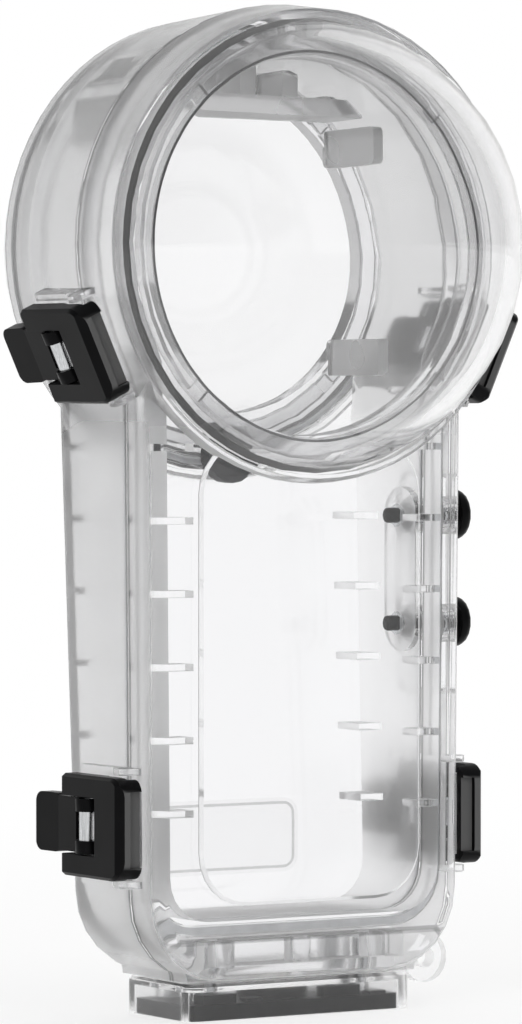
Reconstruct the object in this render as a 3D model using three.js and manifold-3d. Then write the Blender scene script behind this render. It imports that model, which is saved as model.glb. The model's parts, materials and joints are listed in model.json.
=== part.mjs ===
// Clear dive case for a slim camera with a lens on each side, in millimetres.
// X is the width, Y runs from the front dome (-Y) to the rear dome (+Y) and Z is up.
// The origin is on the surface that the foot stands on, midway between the two domes.
import * as THREE from "three";
import { mergeVertices } from "three/addons/utils/BufferGeometryUtils.js";
import Module from "manifold-3d";

const wasm = await Module();
wasm.setup();

// Clearances
const seamGap = 0.3; // between pieces that lie face to face
const pinGap = 0.1; // round a pin in its hole
const overrun = 2; // how far a cutting shape runs past what it cuts
const sink = 0.6; // how far a joined feature reaches into what carries it
const weldDistance = 1e-3;

// Counts of facets
const drumSteps = 64;
const circleSteps = 36;
const holeSteps = 12;
const arcStep = Math.PI / 12;
const edgeSteps = 3;
const chamferSteps = 1;
const hexSides = 6;
const sealSides = 6;
const chamferLimit = 1.5; // width of edge from which it is rounded

// Heights and depths that set the whole case
const bodyBottomZ = 7.1;
const headZ = 137.7; // lens axis
const drumHalfDepth = 20;
const seamShare = 0.425; // of the drum's half depth, from the middle to the seam between the shells
const bodyTopHalfWidth = 33.3;
const drumShoulder = 10.1; // how far the drum stands out past the body's side

// Head: a drum round the lens axis
const drumRadius = bodyTopHalfWidth + drumShoulder; // at the seam
const drumDraft = 1.3; // lost in radius from the seam to the flanges
const drumEdge = 0.7;
const headWall = 8.2;
const frontPortLip = 1.8; // how far each port's rim stands in from the camera space
const rearPortLip = 4.2;

// Lower body
const flankDraft = 0.8;
const bodyCornerRadius = 14.8;
const neckRadius = 12;
const frontFaceStep = 3.5; // flat faces of the body behind the drum's flanges
const rearFaceStep = 2.5;
const frontEdge = 2.8;
const rearEdge = 4;
const sideWall = 4.2;
const faceWall = 3;
const floorHeight = 10.8;
const floorThickness = 3.7;
const cavityCornerRadius = 8;
const leanTopDrop = 32.6; // the rear face leans in from this far under the lens axis
const leanSlope = 0.045;

// Front window
const windowMargin = 10;
const windowFloorRise = 2.8;
const windowTopDrop = 34.6;
const windowCornerRadius = 9.5;
const windowRise = 0.8;
const windowEdge = 0.6;

// Domes and what holds them
const recessDepth = 2;
const recessMargin = 1.3;
const domeBulge = 7.3; // from the dome's foot in to the middle of its sphere
const domeWall = 3;
const domeArcSteps = 7;
const domeSealRadius = 0.65;
const domeSealLift = 0.35; // how far the seal's middle lies under the recess floor
const domeRingGap = 0.9;
const domeRingWidth = 2.8;
const domeRingHeight = 2.3;
const domeRingChamfer = 0.5;
const spannerSlotWidth = 3;
const spannerSlotDepth = 1;
const spannerSlots = 4;

// Main gasket in its groove round the camera space
const gasketInset = 1.6;
const gasketHeadInset = 3.5;
const gasketWidth = 1.3;
const gasketHeight = 1.8;
const gasketFloorDrop = 2.6;
const gasketCornerRadius = 11.5; // of its path, carried out to the case's outline

// Fins that hold the camera's sides
const finReach = 5.6;
const finCount = 6;
const finTopDrop = 35.8;
const finLowRise = 19.3;
const finThickness = 1.25;
const frontFinSetback = 1;
const rearFinDepth = 7.2;

// Guides round the camera's head
const guideOffsetZ = 19.8;
const guideHeight = 7;
const guideThickness = 2.2;
const guideReach = 17.1;
const guideRound = 1.2;
const shelfDrop = 10.2; // underside of the shelf below the top of the camera space
const shelfThickness = 3.4;
const shelfReach = 13.3;
const combToothWidth = 3.4;
const combTeeth = 5;
const combReach = 9.9;

// Rubber pad behind the camera
const padDrop = 37.6;
const padRadius = 5;
const padHeight = 3;
const padPegRadius = 1.6;
const padPegHeight = 1.6;
const padGrooveDepth = 0.4;
const padBandShares = [0.14, 0.36, 0.58, 0.8];

// Latches: places
const lowerLatchRise = 27.7;
const upperLatchAngle = THREE.MathUtils.degToRad(24.6);
const upperLatchSink = 1.5; // base of the upper latches inside the drum's radius
// Latch hook plate, from the seam
const hookPinWall = 1.9; // from the hook pin's middle to the rear end of the arms
const plateFront = 6.7;
const plateHalfHeight = 9.1;
const plateOut = 6.2;
const plateIn = 3;
const armIn = 2.4;
const noseIn = 1.4;
const noseThickness = 2.3;
const noseDishDepth = 0.9;
const noseDishMargin = 2.4;
const plateCorner = 3.4;
const plateEdge = 0.6;
const noseChamferOut = 1.2;
const noseChamferBack = 1.5;
const notchRim = 3.9; // arm's height above and below the notch
const notchGap = 2.4; // between the notch and the saddle
// Latch lever
const leverSideGap = 0.3;
const leverRear = 24;
const leverBend = 16.8; // where its tab starts to turn out
const leverIn = 1.7;
const leverOut = 4.9;
const tabRise = 1;
const tabThinning = 0.5;
const tabHalfHeight = 5.3;
const tabSetback = 2.1; // behind the hook plate's arms, which swing past it
const tabCorner = 1.8;
const knuckleWall = 0.6;
const forkHalfHeight = 2.6;
const forkDepth = 3.9;
// Latch pins
const leverPinBack = 6.6;
const leverPinRadius = 1.6;
const knuckleGap = 0.9; // between the lever's knuckles and the drum
const hookPinOut = 3.3;
const hookPinBack = 12;
const hookPinRadius = 0.9;
const pinEndGap = 0.1;
const hookPinCover = 0.4; // wall of the arm left outside the blind hole
// Shell features that the latches work on
const saddleHalfDepth = 2.3;
const saddleRise = 0.1; // of the saddle's horns past the pin's middle
const lugHalfHeight = 7.4;
const guardGap = 0.3;
const guardThickness = 1.2;
const frontGuardOut = 4;
const rearGuardOut = 2.6;
const guardBack = 13.7;
const guardRound = 1.2;

// Push buttons on the right wall
const bossSetback = 0.35; // of the boss behind the seam
const upperButtonDrop = 48.5;
const buttonPitch = 19.7;
const bossRadius = 5.2;
const bossOut = 3.2;
const bossIn = 1.6;
const bossEdge = 0.6;
const bossCorner = 2;
const bossRise = 7.8; // of its upper end over the upper button
const bossDrop = 12.9; // of its lower end under the lower button
const capRadius = 4.7;
const capHeight = 3.4;
const capSkirt = 1.3;
const capLift = 2.4; // underside of the cap above the boss
const capDomeSteps = 4;
const stemRadius = 1.4;
const stemTip = 3; // past the inner pad
const stemInCap = 1.6;
const clipWidth = 0.8;
const clipRadius = 2.1;
const springPocketRadius = 3.5;
const springPocketDepth = 3.5;
const springRadius = 2.5;
const springWire = 0.3;
const springCurls = 4;
const springStepsPerCurl = 8;
const springSides = 5;
const springLeastGap = 0.4;
const oRingTube = 0.6;
const oRingDepth = 5.6;

// Foot, tripod plate and screws
const footCorner = 3;
const footEdge = 0.6;
const footWall = 2.2;
const footRoof = 1.6;
const footFrontMargin = 2.6;
const footPocketMargin = 0.2;
const flareWall = 2; // of the shells beside the foot's pocket
const flareRadius = 4; // of the hollow curve between the foot and the case's lower corners
const tripodPlateHeight = 2.8;
const tripodBossRadius = 6.5;
const tripodBossGap = 0.5; // under the foot's roof
const tripodBlockWidthShares = [0.16, 0.08, 0.18, 0.08]; // of the plate's width
const tripodBlockMiddleShares = [-0.37, -0.2, 0.23, 0.41];
const tripodBlockHeightShares = [0.9, 0.4, 1, 0.3]; // of the boss's rise over the plate
const tripodBlockInset = 0.6;
const insertRadius = 4.8;
const insertFlange = 0.8;
const insertThreadRadius = 3.2;
const screwInset = 6;
const frontScrewBack = 2.9;
const rearScrewInset = 5.2;
const screwShankRadius = 1.2;
const screwHeadRadius = 2.1;
const screwHeadHeight = 1.4;
const screwHeadSink = 0.5;
const screwSocketRadius = 1.2;
const screwSocketDepth = 0.9;
const screwTopCover = 1.5;
const pillarRadius = 2.6;
const pocketInset = 1.5; // of the foot's pocket inside the camera's sides
const pocketFrontWall = 1.9;
const pocketRearWall = 1.7;
const frontPocketInset = 1;
const frontPocketFloor = 2.8;
const frontPocketFrontWall = 2.9;
const frontPillars = 3;
const frontPillarGap = 0.1; // in front of and behind each pillar

// Lanyard ear at the lower right
const lanyardInset = 0.3;
const lanyardRise = 1;
const lanyardRadius = 4.6;
const lanyardHoleRadius = 1.9;
const lanyardRoot = 8; // how far the ear's root reaches in from its middle
const lanyardBack = 2.9;
const lanyardThickness = 3;

// Faces that follow from the sizes above
const seamY = -seamShare * drumHalfDepth;
const frontSeamY = seamY - seamGap / 2;
const rearSeamY = seamY + seamGap / 2;
const drumRimRadius = drumRadius - drumDraft;
const headCavityRadius = drumRadius - headWall;
const frontPortRadius = headCavityRadius - frontPortLip;
const rearPortRadius = headCavityRadius - rearPortLip;
const bodyFootHalfWidth = bodyTopHalfWidth - flankDraft;
const innerHalfWidth = bodyTopHalfWidth - sideWall;
const cameraHalfWidth = innerHalfWidth - finReach;
const frontFaceY = frontFaceStep - drumHalfDepth;
const rearFaceY = drumHalfDepth - rearFaceStep;
const cavityFrontY = frontFaceY - windowRise + faceWall;
const cavityRearY = rearFaceY - faceWall;
const cavityFloorZ = bodyBottomZ + floorHeight;
const leanTopZ = headZ - leanTopDrop;
const pocketTopZ = cavityFloorZ - floorThickness;
const recessFloorY = drumHalfDepth - recessDepth;
const recessRadius = drumRimRadius - recessMargin;
const domeBaseY = recessFloorY + seamGap;
const domeBaseRadius = recessRadius - seamGap;
const domeRadius = Math.hypot(domeBaseRadius, domeBulge);
const domeCentreY = domeBaseY - domeBulge;
const domeInnerRadius = domeRadius - domeWall;
const domeInnerBase = Math.sqrt(domeInnerRadius ** 2 - domeBulge ** 2);
const domeSeatRadius = (domeBaseRadius + domeInnerBase) / 2;
const domeRingOuter = domeInnerBase - domeRingGap;
const finTopZ = headZ - finTopDrop;
const finPitch = (finTopZ - cavityFloorZ - finLowRise) / (finCount - 1);
const combPitch = (2 * cameraHalfWidth) / combTeeth;
const padZ = headZ - padDrop;
const lowerLatchZ = bodyBottomZ + lowerLatchRise;
const plateFrontY = seamY - plateFront;
const notchHalfHeight = plateHalfHeight - notchRim;
const lugFrontY = plateFrontY + noseThickness + seamGap;
const lugOut = plateIn - seamGap;
const leverHalfHeight = notchHalfHeight - leverSideGap;
const leverRearY = seamY + leverRear;
const leverBendY = seamY + leverBend;
const leverPinY = seamY + leverPinBack;
const notchFrontY = leverPinY - saddleHalfDepth - notchGap;
const forkRearY = leverPinY + forkDepth;
const knuckleRadius = leverPinRadius + pinGap + knuckleWall;
const leverPinOut = upperLatchSink + knuckleRadius + knuckleGap;
const saddleHalfHeight = forkHalfHeight - seamGap;
const hookPinY = seamY + hookPinBack;
const plateRearY = hookPinY + hookPinWall;
const tabFrontY = plateRearY + tabSetback;
const guardRearY = seamY + guardBack;
const buttonY = rearSeamY + bossRadius + bossSetback;
const upperButtonZ = headZ - upperButtonDrop;
const buttonZs = [upperButtonZ, upperButtonZ - buttonPitch];
const bossFaceX = bodyTopHalfWidth + bossOut;
const padFaceX = innerHalfWidth - bossIn;
const capUnderX = bossFaceX + capLift;
const oRingX = bossFaceX - oRingDepth;
const footTopZ = bodyBottomZ - seamGap;
const footRoofZ = footTopZ - footRoof;
const pocketHalfWidth = cameraHalfWidth - pocketInset;
const pocketRearY = cavityRearY - leanSlope * (leanTopZ - bodyBottomZ) - pocketRearWall;
const frontPocketHalfWidth = pocketHalfWidth - frontPocketInset;
const frontPocketFloorZ = bodyBottomZ + frontPocketFloor;
const frontPocketFrontY = frontFaceY + frontPocketFrontWall;
const frontPillarRadius = (frontSeamY - frontPocketFrontY) / 2 - frontPillarGap;
const screwX = pocketHalfWidth - screwInset;
const screwYs = [pocketRearY - rearScrewInset, rearSeamY + frontScrewBack];
const screwSpots = [screwX, -screwX].flatMap((x) => screwYs.map((y) => [x, y]));
const screwTopZ = pocketTopZ - screwTopCover;
const footHalfWidth = pocketHalfWidth + flareWall;
const footFrontY = frontFaceY + footFrontMargin;
const footRearY = pocketRearY + footPocketMargin;
const insertY = (footFrontY + footRearY) / 2;
const tripodBossHeight = footRoofZ - tripodBossGap;
const lanyardX = bodyFootHalfWidth - lanyardInset;
const lanyardZ = bodyBottomZ + lanyardRise;
const lanyardFrontY = rearSeamY + lanyardBack;

// Materials
const finish = (color, roughness, metalness = 0, opacity = 1) => () =>
  new THREE.MeshStandardMaterial({ color, roughness, metalness, opacity, transparent: opacity < 1 });
const clearPlastic = finish(0xeef1f2, 0.08, 0, 0.35);
const blackPlastic = finish(0x16171a, 0.35);
const steel = finish(0xc8cacc, 0.25, 1);
const brass = finish(0xb5a468, 0.35, 1);
const paleSilicone = finish(0xb9bcc0, 0.5);
const darkRubber = finish(0x3c3e41, 0.7);

// Solids

function solid(geometry) {
  const loose = geometry.index ? geometry.toNonIndexed() : geometry.clone();
  loose.deleteAttribute("normal");
  loose.deleteAttribute("uv");
  const welded = mergeVertices(loose, weldDistance);
  const index = welded.index.array;
  const kept = [];
  for (let i = 0; i < index.length; i += 3) {
    const [a, b, c] = [index[i], index[i + 1], index[i + 2]];
    if (a !== b && b !== c && c !== a) kept.push(a, b, c);
  }
  return new wasm.Manifold(
    new wasm.Mesh({
      numProp: 3,
      vertProperties: welded.attributes.position.array,
      triVerts: new Uint32Array(kept),
    }),
  );
}

function join(first, ...rest) {
  return rest.reduce((sum, piece) => sum.add(piece), first);
}

function cut(body, ...tools) {
  return tools.reduce((left, tool) => left.subtract(tool), body);
}

function geometryOf(made) {
  const mesh = made.getMesh();
  const places = new Float32Array(mesh.numVert * 3);
  for (let i = 0; i < mesh.numVert; i++) {
    places.set(mesh.vertProperties.subarray(i * mesh.numProp, i * mesh.numProp + 3), i * 3);
  }
  return new THREE.BufferGeometry()
    .setAttribute("position", new THREE.BufferAttribute(places, 3))
    .setIndex(new THREE.BufferAttribute(new Uint32Array(mesh.triVerts), 1));
}

function block(x0, x1, y0, y1, z0, z1) {
  const box = new THREE.BoxGeometry(x1 - x0, y1 - y0, z1 - z0);
  return solid(box.translate((x0 + x1) / 2, (y0 + y1) / 2, (z0 + z1) / 2));
}

function rodX(radius, x0, x1, y, z, steps = holeSteps) {
  const rod = new THREE.CylinderGeometry(radius, radius, x1 - x0, steps);
  return solid(rod.rotateZ(Math.PI / 2).translate((x0 + x1) / 2, y, z));
}

function rodY(radius, y0, y1, x, z, steps = holeSteps) {
  const rod = new THREE.CylinderGeometry(radius, radius, y1 - y0, steps);
  return solid(rod.translate(x, (y0 + y1) / 2, z));
}

function rodZ(radius, z0, z1, x, y, steps = holeSteps) {
  const rod = new THREE.CylinderGeometry(radius, radius, z1 - z0, steps);
  return solid(rod.rotateX(Math.PI / 2).translate(x, y, (z0 + z1) / 2));
}

function lathed(points, steps) {
  const outward = THREE.ShapeUtils.area(points) > 0 ? points : points.reverse();
  return new THREE.LatheGeometry(outward, steps);
}

// A section of [radius, y] points turned about the lens axis
function turned(section, steps = drumSteps) {
  const points = section.map(([radius, y]) => new THREE.Vector2(radius, y));
  return solid(lathed(points, steps).translate(0, 0, headZ));
}

// Outlines

function arcPoints(x, y, radius, from, to) {
  const count = Math.max(2, Math.ceil(Math.abs(to - from) / arcStep));
  return Array.from({ length: count + 1 }, (_, i) => {
    const angle = from + ((to - from) * i) / count;
    return new THREE.Vector2(x + radius * Math.cos(angle), y + radius * Math.sin(angle));
  });
}

// The case seen from the front: a circle on a rounded foot, with a hollow curve at the neck.
function caseOutline({ radius, topHalf, footHalf, bottomZ, corner, neck }) {
  const neckX = topHalf + neck;
  const lean = Math.acos(neckX / (radius + neck));
  const neckZ = headZ - (radius + neck) * Math.sin(lean);
  const cornerX = footHalf - corner;
  const cornerZ = bottomZ + corner;
  const down = -Math.PI / 2;
  return new THREE.Shape([
    ...arcPoints(cornerX, cornerZ, corner, 0, down),
    ...arcPoints(-cornerX, cornerZ, corner, down, -Math.PI),
    ...arcPoints(-neckX, neckZ, neck, 0, lean),
    ...arcPoints(0, headZ, radius, Math.PI + lean, -lean),
    ...arcPoints(neckX, neckZ, neck, Math.PI - lean, Math.PI),
  ]);
}

function roundedRect(x0, x1, y0, y1, corner) {
  const quarter = Math.PI / 2;
  return new THREE.Shape([
    ...arcPoints(x1 - corner, y1 - corner, corner, 0, quarter),
    ...arcPoints(x0 + corner, y1 - corner, corner, quarter, 2 * quarter),
    ...arcPoints(x0 + corner, y0 + corner, corner, 2 * quarter, 3 * quarter),
    ...arcPoints(x1 - corner, y0 + corner, corner, 3 * quarter, 4 * quarter),
  ]);
}

// A small edge is a chamfer and a wide one is rounded.
function extruded(shape, depth, edge) {
  return new THREE.ExtrudeGeometry(shape, {
    depth: depth - 2 * edge,
    bevelEnabled: edge > 0,
    bevelThickness: edge,
    bevelSize: edge,
    bevelOffset: -edge,
    bevelSegments: edge < chamferLimit ? chamferSteps : edgeSteps,
  }).translate(0, 0, edge);
}

// An outline in X and Z, given its depth in Y.
function slabY(shape, y0, y1, edge = 0) {
  return extruded(shape, y1 - y0, edge).rotateX(Math.PI / 2).translate(0, y1, 0);
}

// An outline in Y and Z, given its depth in X.
const yzOntoX = new THREE.Matrix4().makeBasis(
  new THREE.Vector3(0, 1, 0),
  new THREE.Vector3(0, 0, 1),
  new THREE.Vector3(1, 0, 0),
);
function slabX(shape, x0, x1, edge = 0) {
  return extruded(shape, x1 - x0, edge).applyMatrix4(yzOntoX).translate(x0, 0, 0);
}

// An outline in X and Y, given its depth in Z.
function slabZ(shape, z0, z1, edge = 0) {
  return extruded(shape, z1 - z0, edge).translate(0, 0, z0);
}

const polygon = (pairs) => new THREE.Shape(pairs.map(([x, y]) => new THREE.Vector2(x, y)));

// Outer and inner outlines of the case
const outerSizes = {
  radius: drumRimRadius - sink,
  topHalf: bodyTopHalfWidth,
  footHalf: bodyFootHalfWidth,
  bottomZ: bodyBottomZ,
  corner: bodyCornerRadius,
  neck: neckRadius,
};
const cavitySizes = {
  radius: headCavityRadius,
  topHalf: innerHalfWidth,
  footHalf: innerHalfWidth - flankDraft,
  bottomZ: cavityFloorZ,
  corner: cavityCornerRadius,
  neck: neckRadius,
};
const gasketSizes = (inset) => ({
  radius: drumRadius - gasketHeadInset + gasketInset - inset,
  topHalf: bodyTopHalfWidth - inset,
  footHalf: bodyFootHalfWidth - inset,
  bottomZ: cavityFloorZ - gasketFloorDrop - gasketInset + inset,
  corner: gasketCornerRadius - inset,
  neck: neckRadius + inset,
});

// The rear of the case leans in towards its foot.
const lean = new THREE.Matrix4()
  .makeShear(0, 0, 0, 0, 0, leanSlope)
  .setPosition(0, -leanTopZ * leanSlope, 0);

function leaning(shape, rearY, edge = 0) {
  const made = solid(slabY(shape, frontFaceY, rearY, edge).applyMatrix4(lean));
  const wide = drumRadius + overrun;
  return made.intersect(
    block(-wide, wide, -2 * drumHalfDepth, rearY, 0, headZ + drumRadius + overrun),
  );
}

const rearWallYAt = (z) => cavityRearY + leanSlope * Math.min(0, z - leanTopZ);

// X of the outer side wall at a height, between the neck and the lower corner
function flankX(z) {
  const neckX = bodyTopHalfWidth + neckRadius;
  const neckZ = headZ - Math.sqrt((outerSizes.radius + neckRadius) ** 2 - neckX ** 2);
  const cornerZ = bodyBottomZ + bodyCornerRadius;
  const share = (neckZ - z) / (neckZ - cornerZ);
  return bodyTopHalfWidth + (bodyFootHalfWidth - bodyTopHalfWidth) * share;
}

// Latches

const lowerLatchBase = flankX(lowerLatchZ);
const upperLatchBase = drumRadius - upperLatchSink;
const latchSpots = [
  { name: "upper_left", z: headZ, angle: Math.PI - upperLatchAngle, base: upperLatchBase },
  { name: "upper_right", z: headZ, angle: upperLatchAngle, base: upperLatchBase },
  { name: "lower_left", z: lowerLatchZ, angle: Math.PI, base: lowerLatchBase },
  { name: "lower_right", z: lowerLatchZ, angle: 0, base: lowerLatchBase },
];

function atSpot(geometry, spot) {
  const place = new THREE.Matrix4()
    .makeTranslation(0, 0, spot.z)
    .multiply(new THREE.Matrix4().makeRotationY(spot.angle))
    .multiply(new THREE.Matrix4().makeTranslation(spot.base, 0, 0));
  return solid(geometry.clone().applyMatrix4(place));
}

// In a latch's own axes X points out of the case, Y to the rear, and Z along its pins.
function hookPlate() {
  const side = polygon([
    [armIn, plateRearY],
    [plateOut - plateEdge, plateRearY],
    [plateOut, plateRearY - plateEdge],
    [plateOut, plateFrontY + noseChamferBack],
    [plateOut - noseChamferOut, plateFrontY],
    [noseIn, plateFrontY],
    [noseIn, plateFrontY + noseThickness],
    [plateIn, plateFrontY + noseThickness],
    [plateIn, notchFrontY - plateEdge],
    [armIn, notchFrontY],
  ]);
  const body = solid(slabZ(side, -plateHalfHeight, plateHalfHeight, plateEdge));
  const plan = roundedRect(
    plateFrontY, plateRearY + plateCorner, -plateHalfHeight, plateHalfHeight, plateCorner,
  );
  const rounded = solid(slabX(plan, 0, plateOut, plateEdge));
  const notch = block(
    0, plateOut + overrun, notchFrontY, plateRearY + overrun, -notchHalfHeight, notchHalfHeight,
  );
  const hole = rodZ(
    hookPinRadius + pinGap,
    -plateHalfHeight + hookPinCover, plateHalfHeight - hookPinCover, hookPinOut, hookPinY,
  );
  const dishHalf = plateHalfHeight - noseDishMargin;
  const dish = block(
    0, plateOut - noseDishMargin, plateFrontY - overrun, plateFrontY + noseDishDepth, -dishHalf, dishHalf,
  );
  return cut(body.intersect(rounded), notch, hole, dish);
}

function lever() {
  const top = leverHalfHeight;
  const side = polygon([
    [leverIn, leverPinY],
    [leverIn, leverBendY],
    [leverIn + tabRise + tabThinning, leverRearY],
    [leverOut + tabRise - tabThinning, leverRearY],
    [leverOut, leverBendY],
    [leverOut, leverPinY],
  ]);
  const tab = roundedRect(tabFrontY, leverRearY, -tabHalfHeight, tabHalfHeight, tabCorner);
  const plan = join(
    block(0, plateOut, leverPinY, tabFrontY + tabCorner, -top, top),
    solid(slabX(tab, 0, plateOut)),
  );
  const arm = solid(slabZ(side, -tabHalfHeight, tabHalfHeight)).intersect(plan);
  const knuckle = rodZ(knuckleRadius, -top, top, leverPinOut, leverPinY);
  const fork = block(
    0, leverPinOut + knuckleRadius + overrun,
    leverPinY - knuckleRadius - overrun, forkRearY, -forkHalfHeight, forkHalfHeight,
  );
  const bore = (radius, x, y) => rodZ(radius + pinGap, -top - overrun, top + overrun, x, y);
  const leverBore = bore(leverPinRadius, leverPinOut, leverPinY);
  const hookBore = bore(hookPinRadius, hookPinOut, hookPinY);
  return cut(arm.add(knuckle), fork, leverBore, hookBore);
}

function leverPin() {
  const half = leverHalfHeight - pinEndGap;
  return rodZ(leverPinRadius, -half, half, leverPinOut, leverPinY);
}

function hookPin() {
  const half = plateHalfHeight - hookPinCover - pinEndGap;
  return rodZ(hookPinRadius, -half, half, hookPinOut, hookPinY);
}

// The rear shell's saddle, which the lever pin is snapped into and stays bare on its outer side
function latchSaddle(spot) {
  const x0 = -sink - overrun;
  const x1 = leverPinOut + saddleRise;
  const saddle = new THREE.BoxGeometry(x1 - x0, 2 * saddleHalfDepth, 2 * saddleHalfHeight);
  return atSpot(saddle.translate((x0 + x1) / 2, leverPinY, 0), spot);
}

function latchSaddleHole(spot) {
  const radius = leverPinRadius + pinGap;
  const length = 2 * saddleHalfHeight + overrun;
  const hole = new THREE.CylinderGeometry(radius, radius, length, holeSteps);
  return atSpot(hole.rotateX(Math.PI / 2).translate(leverPinOut, leverPinY, 0), spot);
}

// The front shell's lug, whose flat front face the hook's nose bears on
function latchLug(spot) {
  const plan = roundedRect(lugFrontY, frontSeamY, -lugHalfHeight, lugHalfHeight, guardRound);
  return atSpot(slabX(plan, -sink - overrun, lugOut), spot);
}

// Low ribs above and below a latch
function latchGuards(spot, y0, y1, out) {
  const inner = plateHalfHeight + guardGap;
  return [inner, -inner - guardThickness].map((z) => {
    const side = polygon([
      [-sink - overrun, y0],
      [-sink - overrun, y1],
      [out - guardRound, y1],
      [out, y1 - guardRound],
      [out, y0 + guardRound],
      [out - guardRound, y0],
    ]);
    return atSpot(slabZ(side, z, z + guardThickness), spot);
  });
}

// Shells

// Fins on both sides, between the depths that a height gives
function fins(frontYAt, rearYAt) {
  const x0 = cameraHalfWidth;
  const x1 = innerHalfWidth + sink;
  return Array.from({ length: finCount }, (_, i) => {
    const z = finTopZ - i * finPitch;
    const low = z - finThickness / 2;
    const high = z + finThickness / 2;
    return [[x0, x1], [-x1, -x0]].map(([left, right]) =>
      block(left, right, frontYAt(z), rearYAt(z), low, high),
    );
  }).flat();
}

// What carries the case's rounded lower corners down to the foot, hollow-curved at both sides
function footFlare(y0, y1) {
  const x = footHalfWidth + flareRadius;
  const down = -Math.PI / 2;
  const shape = new THREE.Shape([
    ...arcPoints(x, bodyBottomZ, flareRadius, -2 * down, -down),
    ...arcPoints(-x, bodyBottomZ, flareRadius, -down, 0),
  ]);
  return solid(slabY(shape, y0, y1));
}

function domeRecess(side) {
  const seat = domeSeatRadius;
  const floor = side * recessFloorY;
  const groove = domeSealRadius + seamGap;
  const deep = side * (recessFloorY - domeSealLift - groove);
  const recess = turned([
    [0, floor],
    [recessRadius, floor],
    [recessRadius, side * (drumHalfDepth + overrun)],
    [0, side * (drumHalfDepth + overrun)],
  ]);
  const channel = turned([
    [seat - groove, deep],
    [seat + groove, deep],
    [seat + groove, floor + side * overrun],
    [seat - groove, floor + side * overrun],
    [seat - groove, deep],
  ]);
  return recess.add(channel);
}

function frontShell() {
  const skin = solid(slabY(caseOutline(outerSizes), frontFaceY, rearFaceY, frontEdge));
  const behind = block(
    -drumRadius - overrun, drumRadius + overrun,
    frontSeamY, rearFaceY + overrun,
    0, headZ + drumRadius + overrun,
  );
  const drum = turned([
    [0, frontSeamY],
    [drumRadius, frontSeamY],
    [drumRimRadius, -drumHalfDepth + drumEdge],
    [drumRimRadius - drumEdge, -drumHalfDepth],
    [0, -drumHalfDepth],
  ]);
  const pane = solid(slabY(
    roundedRect(
      windowMargin - bodyTopHalfWidth, bodyTopHalfWidth - windowMargin,
      cavityFloorZ + windowFloorRise, headZ - windowTopDrop, windowCornerRadius,
    ),
    frontFaceY - windowRise, frontFaceY + sink, windowEdge,
  ));
  const cavity = solid(slabY(caseOutline(cavitySizes), cavityFrontY, frontSeamY + overrun));
  const port = rodY(
    frontPortRadius, -drumHalfDepth - overrun, frontSeamY, 0, headZ, drumSteps,
  );
  const pocket = block(
    -frontPocketHalfWidth, frontPocketHalfWidth,
    frontPocketFrontY, frontSeamY + overrun,
    frontPocketFloorZ, pocketTopZ,
  );
  const pillars = Array.from({ length: frontPillars }, (_, i) => {
    const x = (i - (frontPillars - 1) / 2) * screwX;
    const y = (frontPocketFrontY + frontSeamY) / 2;
    return rodZ(frontPillarRadius, frontPocketFloorZ - sink, pocketTopZ + sink, x, y);
  });
  const outside = join(cut(skin, behind), drum, pane, footFlare(footFrontY, frontSeamY));
  const hollow = cut(outside, cavity, port, domeRecess(-1), pocket);
  const added = join(
    hollow,
    ...pillars,
    ...fins(() => cavityFrontY - sink, () => frontSeamY - frontFinSetback),
  );
  return join(
    added,
    ...latchSpots.map(latchLug),
    ...latchSpots.flatMap((spot) => latchGuards(spot, lugFrontY, frontSeamY, frontGuardOut)),
  );
}

function rearShell() {
  const skin = leaning(caseOutline(outerSizes), rearFaceY, rearEdge);
  const ahead = block(
    -drumRadius - overrun, drumRadius + overrun,
    -drumHalfDepth - overrun, rearSeamY,
    0, headZ + drumRadius + overrun,
  );
  const drum = turned([
    [0, rearSeamY],
    [drumRadius, rearSeamY],
    [drumRimRadius, drumHalfDepth - drumEdge],
    [drumRimRadius - drumEdge, drumHalfDepth],
    [0, drumHalfDepth],
  ]);
  const cavity = leaning(caseOutline(cavitySizes), cavityRearY);
  const port = rodY(rearPortRadius, rearSeamY, drumHalfDepth + overrun, 0, headZ, drumSteps);
  const groove = (inset) =>
    solid(slabY(caseOutline(gasketSizes(inset)), rearSeamY - overrun, rearSeamY + gasketHeight + seamGap));
  const channel = groove(gasketInset - seamGap).subtract(
    groove(gasketInset + gasketWidth + seamGap),
  );
  const flare = footFlare(rearSeamY, footRearY);
  const outside = join(cut(skin, ahead), drum, flare, buttonBoss(), lanyardEar());
  const hollow = cut(outside, cavity, port, domeRecess(1));
  const added = join(
    hollow,
    ...fins((z) => rearWallYAt(z) - rearFinDepth, (z) => rearWallYAt(z) + sink),
    ...cameraGuides(),
    ...topShelf(),
    padPeg(),
    innerButtonPad(),
    ...latchSpots.map(latchSaddle),
    ...latchSpots.flatMap((spot) => latchGuards(spot, rearSeamY, guardRearY, rearGuardOut)),
  );
  return cut(
    added,
    channel,
    ...footPocket(),
    ...latchSpots.map(latchSaddleHole),
    ...buttonZs.map(buttonBore),
  );
}

// Four upright guides beside the camera's head
function cameraGuides() {
  return [1, -1].flatMap((side) =>
    [1, -1].map((level) => {
      const x0 = cameraHalfWidth;
      const x1 = cameraHalfWidth + guideThickness;
      const z0 = level * guideOffsetZ - guideHeight / 2;
      const profile = roundedRect(
        cavityRearY - guideReach, cavityRearY + sink, headZ + z0, headZ + z0 + guideHeight, guideRound,
      );
      return side > 0 ? solid(slabX(profile, x0, x1)) : solid(slabX(profile, -x1, -x0));
    }),
  );
}

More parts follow.
